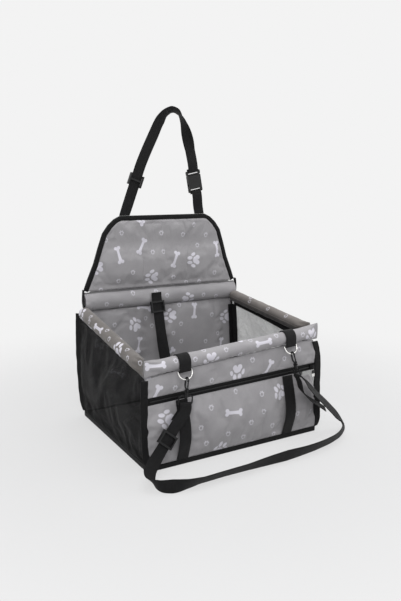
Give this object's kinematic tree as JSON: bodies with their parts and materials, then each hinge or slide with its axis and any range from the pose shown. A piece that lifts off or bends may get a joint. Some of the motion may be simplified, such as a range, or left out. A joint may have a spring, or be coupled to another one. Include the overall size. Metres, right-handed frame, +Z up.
{
  "type": "dog car seat",
  "caption": "Soft basket car seat for a small dog, printed with paws and bones, with a folding backrest, mesh sides, zipped pocket and black webbing straps.",
  "frame": {"origin": "centre of the underside of the base, on the surface it stands on", "axes": "+Z up, the front pocket faces -Y, +X is to the right seen from the front"},
  "size_m": [0.4859, 0.439, 0.6801],
  "materials": {
    "printed_cloth": "grey Oxford cloth printed with pale paws and bones",
    "plain_cloth": "plain grey Oxford cloth",
    "mesh_cloth": "fine black mesh",
    "binding_tape": "black woven binding tape",
    "webbing": "black ribbed polypropylene webbing",
    "black_plastic": "moulded black plastic",
    "plated_steel": "bright nickel plate",
    "black_steel": "black coated zinc alloy",
    "pvc_tube": "pale PVC tube",
    "board": "stiffening sheet"
  },
  "bodies": {
    "basket": {"back_inner_panel": "printed_cloth", "back_left_binding": "binding_tape", "back_outer_panel": "plain_cloth", "back_rail_sleeve": "printed_cloth", "back_rail_tube": "pvc_tube", "back_right_binding": "binding_tape", "base_board": "board", "bottom_binding": "binding_tape", "floor_lining": "plain_cloth", "floor_panel": "plain_cloth", "front_left_binding": "binding_tape", "front_pocket_panel": "printed_cloth", "front_rail_sleeve": "printed_cloth", "front_rail_tube": "pvc_tube", "front_right_binding": "binding_tape", "front_upper_panel": "printed_cloth", "left_front_loop": "webbing", "left_front_strap": "webbing", "left_mesh_panel": "mesh_cloth", "left_rail_sleeve": "printed_cloth", "left_rail_tube": "pvc_tube", "pocket_lining": "plain_cloth", "right_front_loop": "webbing", "right_front_strap": "webbing", "right_mesh_panel": "mesh_cloth", "right_rail_sleeve": "printed_cloth", "right_rail_tube": "pvc_tube", "shoulder_strap": "webbing", "tether_hook_eye": "black_steel", "tether_strap": "webbing", "zip_coil": "black_plastic", "zip_tape": "binding_tape"},
    "backrest": {"backrest_back_panel": "plain_cloth", "backrest_binding": "binding_tape", "backrest_board": "board", "backrest_front_pad": "printed_cloth", "buckle_female": "black_plastic", "buckle_male": "black_plastic", "headrest_lower_strap": "webbing", "headrest_strap": "webbing"},
    "buckle_left_prong": {"buckle_left_prong": "black_plastic"},
    "buckle_right_prong": {"buckle_right_prong": "black_plastic"},
    "headrest_adjuster": {"headrest_adjuster": "black_plastic"},
    "left_ring": {"left_d_ring": "plated_steel"},
    "left_hook": {"left_hook": "black_steel"},
    "left_gate": {"left_hook_gate": "black_steel"},
    "left_eye": {"left_hook_eye": "black_steel"},
    "right_ring": {"right_d_ring": "plated_steel"},
    "right_hook": {"right_hook": "black_steel"},
    "right_gate": {"right_hook_gate": "black_steel"},
    "right_eye": {"right_hook_eye": "black_steel"},
    "shoulder_adjuster": {"shoulder_adjuster": "black_plastic"},
    "tether_adjuster": {"tether_adjuster": "black_plastic"},
    "tether_hook": {"tether_hook": "black_steel"},
    "tether_gate": {"tether_hook_gate": "black_steel"},
    "zip_slider": {"zip_slider": "plated_steel"},
    "zip_pull": {"zip_pull": "plated_steel"}
  },
  "joints": [
    {"name": "backrest_fold", "type": "hinge", "parent": "basket", "child": "backrest", "pos_m": [0, 0.158, 0.27995], "axis": [0.9997, 0, -0.0255], "range_deg": [-90, 90]},
    {"name": "zip_slide", "type": "slide", "parent": "basket", "child": "zip_slider", "axis": [0.9998, 0, 0.02], "range_m": [-0.345, 0]},
    {"name": "zip_pull_swing", "type": "hinge", "parent": "zip_slider", "child": "zip_pull", "pos_m": [0.183, -0.16897, 0.14516], "axis": [-0.9998, 0, -0.02], "range_deg": [0, 150]},
    {"name": "left_ring_swing", "type": "hinge", "parent": "basket", "child": "left_ring", "pos_m": [-0.1215, -0.1695, 0.18931], "axis": [-0.9987, 0, -0.0509], "range_deg": [-3, 70], "deforming": ["shoulder_strap"]},
    {"name": "left_hook_swing", "type": "hinge", "parent": "left_ring", "child": "left_hook", "pos_m": [-0.12072, -0.17668, 0.17392], "axis": [-0.9925, 0, 0.1219], "range_deg": [0, 40], "deforming": ["shoulder_strap"]},
    {"name": "left_gate_press", "type": "hinge", "parent": "left_hook", "child": "left_gate", "pos_m": [-0.12284, -0.1826, 0.15664], "axis": [-0.9925, 0, 0.1219], "range_deg": [0, 20], "stiffness_Nm_per_rad": 0.02, "springref_deg": -17.19},
    {"name": "left_hook_swivel", "type": "hinge", "parent": "left_hook", "child": "left_eye", "pos_m": [-0.12428, -0.17822, 0.14488], "axis": [0.1217, 0.0523, 0.9912], "range_deg": [-30, 30], "deforming": ["shoulder_strap"]},
    {"name": "right_ring_swing", "type": "hinge", "parent": "basket", "child": "right_ring", "pos_m": [0.1215, -0.1695, 0.20169], "axis": [-0.9987, 0, -0.0509], "range_deg": [-3, 70], "deforming": ["shoulder_strap"]},
    {"name": "right_hook_swing", "type": "hinge", "parent": "right_ring", "child": "right_hook", "pos_m": [0.12228, -0.17668, 0.1863], "axis": [-0.9903, 0, -0.1392], "range_deg": [0, 40], "deforming": ["shoulder_strap"]},
    {"name": "right_gate_press", "type": "hinge", "parent": "right_hook", "child": "right_gate", "pos_m": [0.12453, -0.18554, 0.17034], "axis": [-0.9903, 0, -0.1392], "range_deg": [0, 20], "stiffness_Nm_per_rad": 0.02, "springref_deg": -17.19},
    {"name": "right_hook_swivel", "type": "hinge", "parent": "right_hook", "child": "right_eye", "pos_m": [0.12626, -0.18328, 0.15803], "axis": [-0.1356, 0.225, 0.9649], "range_deg": [-30, 30], "deforming": ["shoulder_strap"]},
    {"name": "tether_hook_swivel", "type": "hinge", "parent": "basket", "child": "tether_hook", "pos_m": [-0.024, -0.0227, 0.0184], "axis": [0, -1, 0], "range_deg": [-25, 25]},
    {"name": "tether_gate_press", "type": "hinge", "parent": "tether_hook", "child": "tether_gate", "pos_m": [-0.019, -0.0343, 0.0184], "axis": [0, 0, -1], "range_deg": [0, 20], "stiffness_Nm_per_rad": 0.02, "springref_deg": -17.19},
    {"name": "buckle_left_press", "type": "hinge", "parent": "backrest", "child": "buckle_left_prong", "pos_m": [0.06958, 0.158, 0.52746], "axis": [0, -1, 0], "range_deg": [0, 8], "stiffness_Nm_per_rad": 0.3},
    {"name": "buckle_right_press", "type": "hinge", "parent": "backrest", "child": "buckle_right_prong", "pos_m": [0.09223, 0.158, 0.53143], "axis": [0, -1, 0], "range_deg": [-8, 0], "stiffness_Nm_per_rad": 0.3},
    {"name": "headrest_adjust", "type": "slide", "parent": "backrest", "child": "headrest_adjuster", "axis": [0.3608, 0, 0.9326], "range_m": [-0.018, 0.012]},
    {"name": "tether_adjust", "type": "slide", "parent": "basket", "child": "tether_adjuster", "axis": [0, 0.26, 0.9656], "range_m": [-0.035, 0]},
    {"name": "shoulder_adjust", "type": "slide", "parent": "basket", "child": "shoulder_adjuster", "axis": [0.6587, 0.155, 0.7362], "range_m": [-0.004, 0.004]}
  ],
  "couplings": [
    {"joint": "buckle_right_press", "follows": "buckle_left_press", "ratio": -1}
  ]
}
